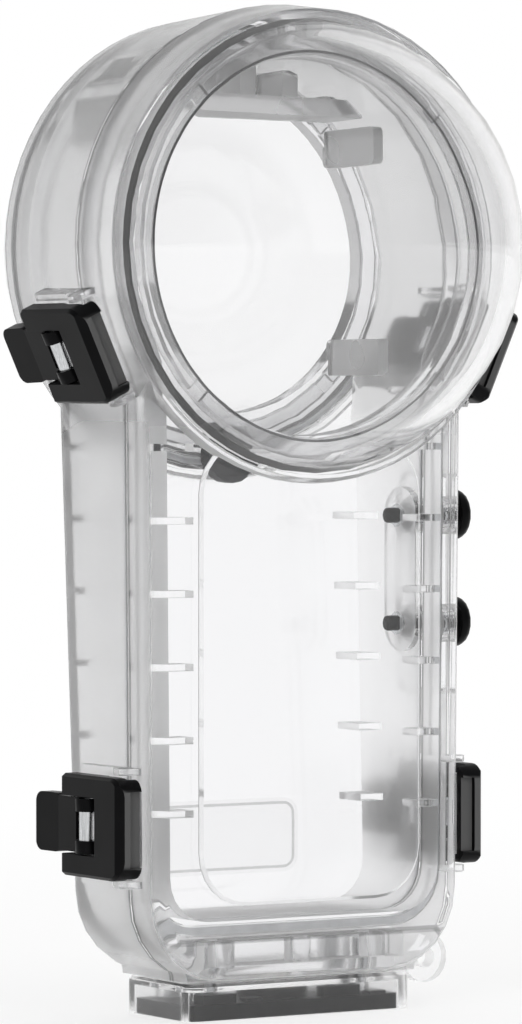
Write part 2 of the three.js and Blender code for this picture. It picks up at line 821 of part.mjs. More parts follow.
// Shelf over the camera with a row of short teeth
function topShelf() {
  const z0 = headZ + headCavityRadius - shelfDrop;
  const z1 = z0 + shelfThickness;
  const shelf = block(
    -cameraHalfWidth, cameraHalfWidth, cavityRearY - shelfReach, cavityRearY + sink, z0, z1,
  );
  const teeth = Array.from({ length: combTeeth }, (_, i) => {
    const x = (i - (combTeeth - 1) / 2) * combPitch;
    const half = combToothWidth / 2;
    const reach = Math.sqrt(headCavityRadius ** 2 - (Math.abs(x) + half) ** 2);
    return block(
      x - half, x + half, cavityRearY - combReach, cavityRearY + sink, z1 - sink, headZ + reach + sink,
    );
  });
  return [shelf, ...teeth];
}

function padPeg() {
  const wallY = rearWallYAt(padZ - padRadius);
  return rodY(padPegRadius, wallY - padPegHeight, wallY + 2 * sink, 0, padZ);
}

function lanyardEar() {
  const rearY = lanyardFrontY + lanyardThickness;
  const disc = rodY(lanyardRadius, lanyardFrontY, rearY, lanyardX, lanyardZ, circleSteps / 2);
  const eye = rodY(
    lanyardHoleRadius, lanyardFrontY - overrun, rearY + overrun, lanyardX, lanyardZ,
  );
  const root = block(
    lanyardX - lanyardRoot, lanyardX, lanyardFrontY, rearY, lanyardZ, lanyardZ + lanyardRadius,
  );
  return cut(disc.add(root), eye);
}

// Hollow under the floor, with a pillar for each screw
function footPocket() {
  const y0 = rearSeamY + pocketFrontWall;
  const pocket = block(
    -pocketHalfWidth, pocketHalfWidth, y0, pocketRearY, bodyBottomZ - overrun, pocketTopZ,
  );
  const pillars = screwSpots.map(([x, y]) => rodZ(pillarRadius, bodyBottomZ, pocketTopZ, x, y));
  const holes = screwSpots.map(([x, y]) =>
    rodZ(screwShankRadius + pinGap, bodyBottomZ - overrun, screwTopZ + seamGap, x, y),
  );
  return [cut(pocket, ...pillars), ...holes];
}

// Buttons

const stadium = (radius) =>
  roundedRect(
    buttonY - radius, buttonY + radius,
    upperButtonZ - buttonPitch - radius, upperButtonZ + radius,
    radius,
  );

function buttonBoss() {
  const bar = roundedRect(
    buttonY - bossRadius, buttonY + bossRadius,
    upperButtonZ - buttonPitch - bossDrop, upperButtonZ + bossRise, bossCorner,
  );
  return solid(slabX(bar, innerHalfWidth + sink, bossFaceX, bossEdge));
}

function innerButtonPad() {
  return solid(slabX(stadium(bossRadius), padFaceX, innerHalfWidth + sink));
}

function buttonBore(z) {
  const through = rodX(
    stemRadius + pinGap, padFaceX - overrun, bossFaceX + overrun, buttonY, z,
  );
  const pocket = rodX(
    springPocketRadius, bossFaceX - springPocketDepth, bossFaceX + overrun, buttonY, z,
  );
  const half = oRingTube + seamGap;
  const gland = rodX(
    stemRadius + seamGap + 2 * oRingTube + seamGap, oRingX - half, oRingX + half, buttonY, z,
  );
  return join(through, pocket, gland);
}

// Turned about a line along X through a button's middle
function turnedX(section, z, steps = holeSteps) {
  const points = section.map(([radius, x]) => new THREE.Vector2(radius, x));
  return solid(lathed(points, steps).rotateZ(-Math.PI / 2).translate(0, buttonY, z));
}

function buttonCap(z) {
  const topX = capUnderX + capHeight;
  const dome = Array.from({ length: capDomeSteps + 1 }, (_, i) => {
    const angle = (Math.PI / 2) * (i / capDomeSteps);
    const rise = capHeight - capSkirt;
    return [capRadius * Math.cos(angle), topX - rise + rise * Math.sin(angle)];
  });
  const body = turnedX([[0, capUnderX], [capRadius, capUnderX], ...dome], z, circleSteps / 2);
  return cut(body, rodX(stemRadius + pinGap, capUnderX - overrun, capUnderX + stemInCap, buttonY, z));
}

function buttonStem(z) {
  const topX = capUnderX + stemInCap - pinGap;
  const neckX = padFaceX - seamGap;
  const body = rodX(stemRadius, padFaceX - stemTip, topX, buttonY, z);
  const groove = cut(
    rodX(stemRadius + overrun, neckX - clipWidth - 2 * pinGap, neckX, buttonY, z),
    rodX(stemRadius - 2 * pinGap, neckX - clipWidth - 2 * pinGap - overrun, neckX + overrun, buttonY, z),
  );
  return cut(body, groove);
}

function buttonClip(z) {
  const outer = padFaceX - seamGap - pinGap;
  const ring = rodX(clipRadius, outer - clipWidth, outer, buttonY, z, hexSides);
  const bore = rodX(stemRadius - pinGap, outer - clipWidth - overrun, outer + overrun, buttonY, z);
  return cut(ring, bore);
}

function buttonSeal(z) {
  const radius = stemRadius + seamGap + oRingTube;
  const ring = new THREE.TorusGeometry(radius, oRingTube, sealSides, holeSteps);
  return solid(ring.rotateY(Math.PI / 2).translate(oRingX, buttonY, z));
}

// One unbroken wire wound round the stem
function buttonSpring(z) {
  const x0 = bossFaceX - springPocketDepth + seamGap + springWire;
  const x1 = capUnderX - seamGap - springWire;
  const steps = springCurls * springStepsPerCurl;
  const places = [];
  const centre = (t) => {
    const angle = 2 * Math.PI * springCurls * t;
    return new THREE.Vector3(
      x0 + (x1 - x0) * t,
      buttonY + springRadius * Math.cos(angle),
      z + springRadius * Math.sin(angle),
    );
  };
  for (let i = 0; i <= steps; i++) {
    const angle = (2 * Math.PI * springCurls * i) / steps;
    const outward = new THREE.Vector3(0, Math.cos(angle), Math.sin(angle));
    const along = new THREE.Vector3(1, 0, 0);
    for (let k = 0; k < springSides; k++) {
      const round = (2 * Math.PI * k) / springSides;
      places.push(
        centre(i / steps)
          .addScaledVector(outward, springWire * Math.cos(round))
          .addScaledVector(along, springWire * Math.sin(round)),
      );
    }
  }
  const index = [];
  for (let i = 0; i < steps; i++) {
    for (let k = 0; k < springSides; k++) {
      const a = i * springSides + k;
      const b = i * springSides + ((k + 1) % springSides);
      index.push(a, a + springSides, b, b, a + springSides, b + springSides);
    }
  }
  for (let k = 1; k < springSides - 1; k++) {
    const end = steps * springSides;
    index.push(0, k, k + 1, end, end + k + 1, end + k);
  }
  return solid(new THREE.BufferGeometry().setFromPoints(places).setIndex(index));
}

// The least gap between neighbouring curls, measured on points of the wire's middle line
function springGap() {
  const x0 = bossFaceX - springPocketDepth + seamGap + springWire;
  const x1 = capUnderX - seamGap - springWire;
  const count = springCurls * springStepsPerCurl;
  const at = (i) => {
    const angle = (2 * Math.PI * i) / springStepsPerCurl;
    const x = x0 + ((x1 - x0) * i) / count;
    return new THREE.Vector3(x, springRadius * Math.cos(angle), springRadius * Math.sin(angle));
  };
  let least = Infinity;
  for (let i = 0; i <= count; i++) {
    for (let j = i + springStepsPerCurl / 2; j <= count; j++) {
      least = Math.min(least, at(i).distanceTo(at(j)) - 2 * springWire);
    }
  }
  return least;
}
console.log(
  "least gap between curls", springGap().toFixed(3), springGap() > springLeastGap ? "ok" : "too small",
);

// Domes, seals and rings

function dome(side) {
  const arc = (radius) => {
    const start = Math.asin(domeBulge / radius);
    return Array.from({ length: domeArcSteps + 1 }, (_, i) => {
      const angle = start + (Math.PI / 2 - start) * (i / domeArcSteps);
      const reach = i === domeArcSteps ? 0 : radius * Math.cos(angle);
      return [reach, side * (domeCentreY + radius * Math.sin(angle))];
    });
  };
  return turned([...arc(domeInnerRadius).reverse(), ...arc(domeRadius)], circleSteps);
}

function domeSeal(side) {
  const ring = new THREE.TorusGeometry(domeSeatRadius, domeSealRadius, sealSides, circleSteps);
  ring.rotateX(Math.PI / 2).translate(0, side * (recessFloorY - domeSealLift - seamGap), headZ);
  return solid(ring);
}

function domeRing(side) {
  const outer = domeRingOuter;
  const inner = outer - domeRingWidth;
  const low = side * (recessFloorY + seamGap);
  const high = side * (recessFloorY + seamGap + domeRingHeight);
  const ring = turned([
    [inner, low],
    [outer, low],
    [outer, high - side * domeRingChamfer],
    [outer - domeRingChamfer, high],
    [inner + domeRingChamfer, high],
    [inner, high - side * domeRingChamfer],
    [inner, low],
  ], circleSteps);
  const slots = Array.from({ length: spannerSlots / 2 }, (_, i) => {
    const y0 = Math.min(high - side * spannerSlotDepth, high + side * overrun);
    const y1 = Math.max(high - side * spannerSlotDepth, high + side * overrun);
    const bar = new THREE.BoxGeometry(2 * outer + overrun, y1 - y0, spannerSlotWidth);
    bar.rotateY(Math.PI / 4 + (i * Math.PI) / 2).translate(0, (y0 + y1) / 2, headZ);
    return solid(bar);
  });
  return cut(ring, ...slots);
}

function mainGasket() {
  const loop = (inset) =>
    solid(slabY(caseOutline(gasketSizes(inset)), rearSeamY, rearSeamY + gasketHeight));
  const inside = solid(slabY(
    caseOutline(gasketSizes(gasketInset + gasketWidth)),
    rearSeamY - overrun, rearSeamY + gasketHeight + overrun,
  ));
  return loop(gasketInset).subtract(inside);
}

function cameraPad() {
  const rearY = rearWallYAt(padZ - padRadius) - seamGap;
  const frontY = rearY - padHeight;
  const body = rodY(padRadius, frontY, rearY, 0, padZ, circleSteps / 2);
  const socket = rodY(padPegRadius + pinGap, rearY - padPegHeight, rearY + overrun, 0, padZ);
  const grooves = padBandShares.map((share) => {
    const z = padZ - padRadius + 2 * padRadius * share;
    const half = padGrooveDepth / 2;
    return block(
      -padRadius, padRadius, frontY - overrun, frontY + padGrooveDepth, z - half, z + half,
    );
  });
  return cut(body, socket, ...grooves);
}

// Foot

function footOutline(inset) {
  return roundedRect(
    -footHalfWidth + inset, footHalfWidth - inset,
    footFrontY + inset, footRearY - inset,
    footCorner - inset,
  );
}

function foot() {
  const body = solid(slabZ(footOutline(0), -footEdge, footTopZ, footEdge));
  const under = block(
    -footHalfWidth - overrun, footHalfWidth + overrun,
    footFrontY - overrun, footRearY + overrun,
    -footEdge - overrun, 0,
  );
  const hollow = solid(slabZ(footOutline(footWall), -overrun, footRoofZ));
  const posts = screwSpots.map(([x, y]) =>
    rodZ(pillarRadius, tripodPlateHeight + seamGap, footRoofZ + sink, x, y),
  );
  const holes = screwSpots.map(([x, y]) =>
    rodZ(screwShankRadius + pinGap, tripodPlateHeight, footTopZ + overrun, x, y),
  );
  return cut(join(cut(body, under, hollow), ...posts), ...holes);
}

// Low blocks on the plate that brace it against the foot's front wall
function tripodBlocks() {
  const wide = 2 * (footHalfWidth - footWall - seamGap);
  const y0 = footFrontY + footWall + seamGap + tripodBlockInset;
  const y1 = Math.min(...screwYs) - pillarRadius - seamGap;
  return tripodBlockMiddleShares.map((share, i) => {
    const half = (wide * tripodBlockWidthShares[i]) / 2;
    const rise = (tripodBossHeight - tripodPlateHeight) * tripodBlockHeightShares[i];
    return block(
      wide * share - half, wide * share + half, y0, y1,
      tripodPlateHeight - sink, tripodPlateHeight + rise,
    );
  });
}

function tripodPlate() {
  const body = solid(slabZ(footOutline(footWall + seamGap), 0, tripodPlateHeight));
  const boss = rodZ(
    tripodBossRadius, tripodPlateHeight - sink, tripodBossHeight, 0, insertY, circleSteps / 2,
  );
  const bore = rodZ(insertRadius + pinGap, insertFlange, tripodBossHeight + overrun, 0, insertY);
  const mouth = rodZ(insertThreadRadius + seamGap, -overrun, insertFlange + overrun, 0, insertY);
  const holes = screwSpots.map(([x, y]) =>
    join(
      rodZ(screwShankRadius + pinGap, -overrun, tripodPlateHeight + overrun, x, y),
      rodZ(screwHeadRadius + pinGap, -overrun, screwHeadSink + screwHeadHeight + pinGap, x, y),
    ),
  );
  const within = solid(slabZ(footOutline(footWall + seamGap), 0, tripodBossHeight));
  return cut(join(body, boss.intersect(within), ...tripodBlocks()), bore, mouth, ...holes);
}

function tripodInsert() {
  const body = rodZ(insertRadius, insertFlange + pinGap, tripodBossHeight, 0, insertY);
  return body.subtract(rodZ(insertThreadRadius, 0, tripodBossHeight + overrun, 0, insertY));
}

function footScrew(x, y) {
  const headTop = screwHeadSink + screwHeadHeight;
  const body = join(
    rodZ(screwHeadRadius, screwHeadSink, headTop, x, y),
    rodZ(screwShankRadius, headTop - pinGap, screwTopZ, x, y),
  );
  const socket = rodZ(
    screwSocketRadius, screwHeadSink - overrun, screwHeadSink + screwSocketDepth, x, y, hexSides,
  );
  return body.subtract(socket);
}

// Assembly

const diveCase = new THREE.Group();

function addPiece(name, made, material, holder = diveCase) {
  const mesh = new THREE.Mesh(geometryOf(made), material());
  mesh.name = name;
  holder.add(mesh);
  return mesh;
}

addPiece("rear_shell", rearShell(), clearPlastic);
addPiece("front_shell", frontShell(), clearPlastic);
addPiece("main_gasket", mainGasket(), paleSilicone);
addPiece("camera_pad", cameraPad(), darkRubber);

[["front", -1], ["rear", 1]].forEach(([name, side]) => {
  addPiece(name + "_dome", dome(side), clearPlastic);
  addPiece(name + "_dome_seal", domeSeal(side), paleSilicone);
  addPiece(name + "_dome_ring", domeRing(side), clearPlastic);
});

const hookPlateSolid = hookPlate();
const leverSolid = lever();
latchSpots.forEach((spot) => {
  const holder = new THREE.Group();
  holder.position.z = spot.z;
  holder.rotation.y = spot.angle;
  diveCase.add(holder);
  const pieces = [
    ["hook_" + spot.name, hookPlateSolid, blackPlastic],
    ["lever_" + spot.name, leverSolid, blackPlastic],
    ["lever_pin_" + spot.name, leverPin(), steel],
    ["hook_pin_" + spot.name, hookPin(), steel],
  ];
  pieces.forEach(([name, made, material]) => {
    addPiece(name, made, material, holder).position.x = spot.base;
  });
});

["upper", "lower"].forEach((level, i) => {
  const z = buttonZs[i];
  addPiece(level + "_button_cap", buttonCap(z), blackPlastic);
  addPiece(level + "_button_stem", buttonStem(z), blackPlastic);
  addPiece(level + "_button_clip", buttonClip(z), blackPlastic);
  addPiece(level + "_button_spring", buttonSpring(z), steel);
  addPiece(level + "_button_seal", buttonSeal(z), darkRubber);
});

addPiece("foot", foot(), clearPlastic);
addPiece("tripod_plate", tripodPlate(), blackPlastic);
addPiece("tripod_insert", tripodInsert(), brass);
screwSpots.forEach(([x, y], i) => {
  addPiece("foot_screw_" + (i + 1), footScrew(x, y), steel);
});

export default diveCase;
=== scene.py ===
"""Studio picture of a clear dive case for a slim camera with a lens on each side."""
import json
import math

import bmesh
import bpy
from mathutils import Matrix, Vector


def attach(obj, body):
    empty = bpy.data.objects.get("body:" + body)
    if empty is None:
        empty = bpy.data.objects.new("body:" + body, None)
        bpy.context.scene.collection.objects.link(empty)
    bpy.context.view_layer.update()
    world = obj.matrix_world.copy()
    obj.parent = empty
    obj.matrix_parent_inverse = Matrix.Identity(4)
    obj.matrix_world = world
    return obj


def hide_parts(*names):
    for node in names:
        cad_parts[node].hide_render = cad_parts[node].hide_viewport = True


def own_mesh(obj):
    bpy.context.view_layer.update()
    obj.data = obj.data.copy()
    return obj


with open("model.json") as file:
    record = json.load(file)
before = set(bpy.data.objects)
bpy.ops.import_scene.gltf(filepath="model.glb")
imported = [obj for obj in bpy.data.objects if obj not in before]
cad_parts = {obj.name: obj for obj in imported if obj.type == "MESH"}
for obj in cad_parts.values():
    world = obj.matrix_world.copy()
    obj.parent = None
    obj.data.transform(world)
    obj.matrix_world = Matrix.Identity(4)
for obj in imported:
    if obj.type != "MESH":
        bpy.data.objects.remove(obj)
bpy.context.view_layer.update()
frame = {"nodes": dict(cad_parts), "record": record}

MM = 0.001
scene = bpy.context.scene
scene.view_settings.view_transform = "Standard"


# Camera

CAMERA_PLACE = Vector((-0.52981, -0.84787, 0.11024))
CAMERA_TARGET = Vector((0.0, 0.0, 0.09))
CAMERA_LENS = 194.4
SENSOR_WIDTH = 36.0
CAMERA_CLIP = (0.05, 50.0)


def aim(item, place, target):
    """Puts a camera or lamp in its place and turns it to its target."""
    item.location = place
    item.rotation_mode = "QUATERNION"
    item.rotation_quaternion = (target - place).to_track_quat("-Z", "Y")


def add_camera():
    data = bpy.data.cameras.new("camera")
    data.lens = CAMERA_LENS
    data.sensor_width = SENSOR_WIDTH
    data.clip_start, data.clip_end = CAMERA_CLIP
    camera = bpy.data.objects.new("camera", data)
    scene.collection.objects.link(camera)
    aim(camera, CAMERA_PLACE, CAMERA_TARGET)
    scene.camera = camera


# Node building

FLOAT = "NodeSocketFloat"
VECTOR = "NodeSocketVector"
NOISE_SPREAD = (0.3, 0.7)  # where most of a noise's values lie


def connect(tree, socket, value):
    """Gives a socket a value, or a link where the value is another socket."""
    if isinstance(value, bpy.types.NodeSocket):
        tree.links.new(value, socket)
    else:
        socket.default_value = value


def fill(tree, made, sockets):
    """Values or links for a node's inputs, by name with _ for each space."""
    for name, value in sockets.items():
        connect(tree, made.inputs[name.replace("_", " ")], value)
    return made


def node(tree, kind, **sockets):
    return fill(tree, tree.nodes.new(kind), sockets)


def math_node(tree, operation, *values):
    made = node(tree, "ShaderNodeMath")
    made.operation = operation
    for socket, value in zip(made.inputs, values):
        connect(tree, socket, value)
    return made.outputs[0]


def map_range(tree, value, start, end, low=0.0, high=1.0, easing="LINEAR"):
    """A value that goes from low at start to high at end and stays there outside."""
    made = node(tree, "ShaderNodeMapRange", Value=value)
    made.interpolation_type = easing
    for label, given in (("From Min", start), ("From Max", end), ("To Min", low), ("To Max", high)):
        connect(tree, made.inputs[label], given)
    return made.outputs["Result"]


def span(tree, value, start, end, low=0.0, high=1.0):
    """An eased step from low at start to high at end."""
    return map_range(tree, value, start, end, low, high, easing="SMOOTHSTEP")


def near_plane(tree, value, plane, limits):
    """1 within the first limit of a plane, 0 past the second one."""
    gap = math_node(tree, "ABSOLUTE", math_node(tree, "SUBTRACT", value, plane))
    return span(tree, gap, *limits, 1.0, 0.0)


def blend(tree, share, first, second, kind="FLOAT"):
    """From first to second as share goes from 0 to 1: values, or colours with the kind RGBA."""
    made = node(tree, "ShaderNodeMix", Factor=share)
    made.data_type = kind
    connect(tree, made.inputs["A"], first)
    connect(tree, made.inputs["B"], second)
    return made.outputs["Result"]


def mix_shaders(tree, share, first, second):
    made = node(tree, "ShaderNodeMixShader", Fac=share)
    tree.links.new(first.outputs[0], made.inputs[1])
    tree.links.new(second.outputs[0], made.inputs[2])
    return made


def noise(tree, place, scale, detail):
    return node(tree, "ShaderNodeTexNoise", Vector=place, Scale=scale, Detail=detail).outputs["Fac"]


def opaque(color):
    return (*color, 1.0)


def grey(value):
    return opaque((value, value, value))


def ramp(tree, fac, stops):
    """Colours by position."""
    made = node(tree, "ShaderNodeValToRGB", Fac=fac)
    elements = made.color_ramp.elements
    while len(elements) < len(stops):
        elements.new(0.5)
    for element, (position, color) in zip(elements, stops):
        element.position = position
        element.color = color
    return made.outputs["Color"]


def mottle(tree, fac, dark, light, spread=NOISE_SPREAD):
    """A noise's colour, from dark to light over the spread of its values."""
    return ramp(tree, fac, [(spread[0], dark), (spread[1], light)])


def tinted(tree, tone, blue_gain=1.0):
    """A grey of a tone, with its blue a little stronger where asked."""
    blue = math_node(tree, "MULTIPLY", tone, blue_gain)
    return node(tree, "ShaderNodeCombineColor", Red=tone, Green=tone, Blue=blue).outputs["Color"]


def object_place(tree, stretch=(1.0, 1.0, 1.0)):
    """Object coordinates in millimetres, times stretch."""
    place = node(tree, "ShaderNodeTexCoord").outputs["Object"]
    mapping = node(tree, "ShaderNodeMapping", Vector=place)
    mapping.inputs["Scale"].default_value = [s / MM for s in stretch]
    return mapping.outputs["Vector"]


def blank_material(name):
    material = bpy.data.materials.new(name)
    material.use_nodes = True
    material.node_tree.nodes.clear()
    return material, material.node_tree


def finish_material(tree, shader):
    node(tree, "ShaderNodeOutputMaterial", Surface=shader.outputs[0])


def group(name, inputs, outputs):
    """An empty node group, with its sockets' kinds by name."""
    tree = bpy.data.node_groups.new(name, "ShaderNodeTree")
    for label, kind in inputs.items():
        tree.interface.new_socket(label, in_out="INPUT", socket_type=kind)
    for label, kind in outputs.items():
        tree.interface.new_socket(label, in_out="OUTPUT", socket_type=kind)
    return tree, tree.nodes.new("NodeGroupInput").outputs, tree.nodes.new("NodeGroupOutput").inputs


def use_group(tree, made, **sockets):
    placed = tree.nodes.new("ShaderNodeGroup")
    placed.node_tree = made
    return fill(tree, placed, sockets).outputs


# Effects that finishes share

WAVE_DETAIL = 1.0
GRAIN_DETAIL = 2.0


def moulded_skin_group():
    """Fine unevenness of a moulded surface: a height and a drift of gloss."""
    tree, given, out = group(
        "moulded_skin",
        {
            "Place": VECTOR,
            "Wave Scale": FLOAT,
            "Grain Scale": FLOAT,
            "Grain Share": FLOAT,
            "Low Gloss": FLOAT,
            "High Gloss": FLOAT,
        },
        {"Height": FLOAT, "Roughness": FLOAT},
    )
    wave = noise(tree, given["Place"], given["Wave Scale"], WAVE_DETAIL)
    grain = noise(tree, given["Place"], given["Grain Scale"], GRAIN_DETAIL)
    gloss = map_range(tree, wave, *NOISE_SPREAD, given["Low Gloss"], given["High Gloss"])
    connect(tree, out["Height"], blend(tree, given["Grain Share"], wave, grain))
    connect(tree, out["Roughness"], gloss)
    return tree


def facing_mask_group():
    """How far a surface faces forward or back: 0 up to Low of its normal's Y, 1 from High on."""
    tree, given, out = group("facing_mask", {"Low": FLOAT, "High": FLOAT}, {"Across": FLOAT})
    normal = node(tree, "ShaderNodeTexCoord").outputs["Normal"]
    along = node(tree, "ShaderNodeSeparateXYZ", Vector=normal).outputs["Y"]
    size = math_node(tree, "ABSOLUTE", along)
    connect(tree, out["Across"], span(tree, size, given["Low"], given["High"]))
    return tree


MOULDED = moulded_skin_group()
FACING = facing_mask_group()


def skin(tree, place, wave, grain, share, low, high, strength, distance):
    """Moulded skin on a place: its roughness and its bumped normal."""
    placed = use_group(
        tree, MOULDED, Place=place, Wave_Scale=wave, Grain_Scale=grain,
        Grain_Share=share, Low_Gloss=low, High_Gloss=high,
    )
    bump = node(tree, "ShaderNodeBump", Height=placed["Height"], Strength=strength, Distance=distance)
    return placed["Roughness"], bump.outputs["Normal"]


def facing(tree, limits):
    low, high = limits
    return use_group(tree, FACING, Low=low, High=high)["Across"]


# Places on the part, in millimetres, that finishes go by

HEAD_HEIGHT = 137.7  # the middle line of the drum and the domes
NECK_HEIGHTS = (98.0, 112.0)  # from the flanks up to the drum
SHELF_HEIGHTS = (158.0, 161.0)  # from the guides up to the toothed shelf
POCKET_HEIGHTS = (15.5, 18.5)  # from the foot's pocket up to the camera space
POCKET_ROOF = 14.3
ROOF_SHADE_LINE = (0.25, 0.45)  # how far the painted shade line along the pocket's roof reaches and fades
SEAM_DEPTH = -8.5
SEAM_SHADE_LINE = (0.5, 0.9)  # how far the painted shade line along the shells' seam reaches and fades
GUIDE_REACH = (34.2, 35.0)  # from the guides and the shelf out to the drum's inner wall
GUIDE_DEPTH = (13.6, 14.0)  # from the guides and the shelf to the walls before and behind the camera
DOME_FOOT_SHADE_REACH = (20.0, 27.0)  # from the drum's rim, where a dome's foot gets its painted shade, out to where a dome is clear
DOME_PAINTED_SHADE_HEIGHTS = (14.0, 34.0)  # up and down from the middle line to the foot's ends, which are darkened with painted shade
LIT_END_DEPTHS = (-13.6, -13.3)  # from the hook plates' front ends back, where the painted light lies


def case_regions(tree, place):
    """Masks of 0 and 1 for parts of the case, by name."""
    parts = node(tree, "ShaderNodeSeparateXYZ", Vector=place).outputs
    up = math_node(tree, "SUBTRACT", parts["Z"], HEAD_HEIGHT)
    square = math_node(tree, "MULTIPLY", parts["X"], parts["X"])
    reach = math_node(tree, "SQRT", math_node(tree, "MULTIPLY_ADD", up, up, square))
    near = span(tree, reach, *GUIDE_REACH, 1.0, 0.0)
    deep = span(tree, math_node(tree, "ABSOLUTE", parts["Y"]), *GUIDE_DEPTH, 1.0, 0.0)
    return {
        "guides": math_node(tree, "MULTIPLY", near, deep),
        "shelf": span(tree, parts["Z"], *SHELF_HEIGHTS),
        "drum": span(tree, parts["Z"], *NECK_HEIGHTS),
        "over_pocket": span(tree, parts["Z"], *POCKET_HEIGHTS),
        "pocket_roof_shade": near_plane(tree, parts["Z"], POCKET_ROOF, ROOF_SHADE_LINE),
        "seam": near_plane(tree, parts["Y"], SEAM_DEPTH, SEAM_SHADE_LINE),
    }


# Clear plastic

PLASTIC_IOR = 1.49
CLEAR_SKIN = {"wave": 0.04, "grain": 0.6, "share": 0.15, "distance": 0.0003}
POLISHED_GLOSS_SHARE = 0.5
# the foot's tone at the middle line, where it has no painted shade
DOME_UNSHADED_FOOT_TONE = 0.985
DOME_BLUE = 1.004
DOME_SHADOW_TONE = 0.95

SHELL_FACING = (0.35, 0.85)
SHELL_GLOSS = (0.9, 1.1)
SHELL_BUMP = 0.04
SHELL_BLUE = 1.006
SHELL_SHADOW_TONE = 0.9
FLANK_ROUGHNESS = 0.34
DRUM_ROUGHNESS = 0.2
PANE_ROUGHNESS = 0.03
POCKET_ROUGHNESS = 0.1
GUIDE_ROUGHNESS = 0.3
PANE_TONE = 0.97
GUIDE_TONE = 0.8
# painted shade: the dark tone of the line along the shells' seam
SEAM_SHADE_TONE = 0.3
# painted shade: the dark tone of the line along the pocket's roof
ROOF_SHADE_TONE = 0.5
FLANK_HAZE_TONE = 0.97
GUIDE_HAZE_TONE = 0.58
SHELF_HAZE_TONE = 0.36
FLANK_HAZE = 0.45
DRUM_HAZE = 0.1
PANE_HAZE = 0.0
POCKET_HAZE = 0.05
GUIDE_HAZE = 0.4


def pass_shadow(tree, shader, tone):
    """Clear pieces let light through, so their shadows stay pale."""
    through = node(tree, "ShaderNodeBsdfTransparent", Color=grey(tone))
    shadow = node(tree, "ShaderNodeLightPath").outputs["Is Shadow Ray"]
    return mix_shaders(tree, shadow, shader, through)


def clear_shader(tree, color, rough, normal):
    shader = node(tree, "ShaderNodeBsdfPrincipled", Base_Color=color, Roughness=rough, Normal=normal)
    shader.inputs["IOR"].default_value = PLASTIC_IOR
    shader.inputs["Transmission Weight"].default_value = 1.0
    return shader


def polished_plastic(name, tone, foot_painted_shade_tone, rough, strength, haze, haze_tone):
    """Clear plastic with a trace of the melt's flow and a share of haze, with painted shade on its
    foot on the case: darker at the top and bottom."""
    material, tree = blank_material(name)
    place = object_place(tree)
    gloss, normal = skin(
        tree, place, low=POLISHED_GLOSS_SHARE * rough, high=rough, strength=strength, **CLEAR_SKIN,
    )
    parts = node(tree, "ShaderNodeSeparateXYZ", Vector=place).outputs
    from_middle = math_node(tree, "ABSOLUTE", math_node(tree, "SUBTRACT", parts["Z"], HEAD_HEIGHT))
    # painted shade: a dome's foot darkens towards its top and bottom
    foot = span(tree, from_middle, *DOME_PAINTED_SHADE_HEIGHTS, DOME_UNSHADED_FOOT_TONE, foot_painted_shade_tone)
    shade = span(tree, math_node(tree, "ABSOLUTE", parts["Y"]), *DOME_FOOT_SHADE_REACH, foot, tone)
    clear = clear_shader(tree, tinted(tree, shade, DOME_BLUE), gloss, normal)
    milky = node(tree, "ShaderNodeBsdfTranslucent", Color=grey(haze_tone), Normal=normal)
    finish_material(tree, pass_shadow(tree, mix_shaders(tree, haze, clear, milky), DOME_SHADOW_TONE))
    return material


def moulded_clear_plastic(name, flank_tone, drum_tone, drum_haze_tone):
    """A shell's plastic: clear where a face looks forward or back, frosted on side walls and ribs."""
    material, tree = blank_material(name)
    place = object_place(tree)
    across = facing(tree, SHELL_FACING)
    region = case_regions(tree, place)

    def on_sides(flank, drum):
        return blend(tree, region["drum"], flank, drum)

    def on_panes(pocket, pane):
        return blend(tree, region["over_pocket"], pocket, pane)

    def by_place(sides, panes, guides):
        return blend(tree, region["guides"], blend(tree, across, sides, panes), guides)

    low, high = SHELL_GLOSS
    gloss, normal = skin(tree, place, low=low, high=high, strength=SHELL_BUMP, **CLEAR_SKIN)
    side_rough = on_sides(FLANK_ROUGHNESS, DRUM_ROUGHNESS)
    rough = by_place(side_rough, on_panes(POCKET_ROUGHNESS, PANE_ROUGHNESS), GUIDE_ROUGHNESS)
    # painted shade along the seam on faces that look sideways, darkening both the clear tone and the haze
    line = math_node(tree, "MULTIPLY", region["seam"], math_node(tree, "SUBTRACT", 1.0, across))
    seam_shaded_tone = blend(tree, line, on_sides(flank_tone, drum_tone), SEAM_SHADE_TONE)
    # painted shade line along the pocket's roof on the panes
    tone = by_place(seam_shaded_tone, blend(tree, region["pocket_roof_shade"], PANE_TONE, ROOF_SHADE_TONE), GUIDE_TONE)
    color = tinted(tree, tone, SHELL_BLUE)
    clear = clear_shader(tree, color, math_node(tree, "MULTIPLY", rough, gloss), normal)
    rib_tone = blend(tree, region["shelf"], GUIDE_HAZE_TONE, SHELF_HAZE_TONE)
    haze_tone = blend(tree, region["guides"], on_sides(FLANK_HAZE_TONE, drum_haze_tone), rib_tone)
    seam_shaded_haze_tone = math_node(tree, "MULTIPLY", haze_tone, blend(tree, line, 1.0, SEAM_SHADE_TONE))
    milky = node(tree, "ShaderNodeBsdfTranslucent", Color=tinted(tree, seam_shaded_haze_tone), Normal=normal)
    haze = by_place(on_sides(FLANK_HAZE, DRUM_HAZE), on_panes(POCKET_HAZE, PANE_HAZE), GUIDE_HAZE)
    finish_material(tree, pass_shadow(tree, mix_shaders(tree, haze, clear, milky), SHELL_SHADOW_TONE))
    return material


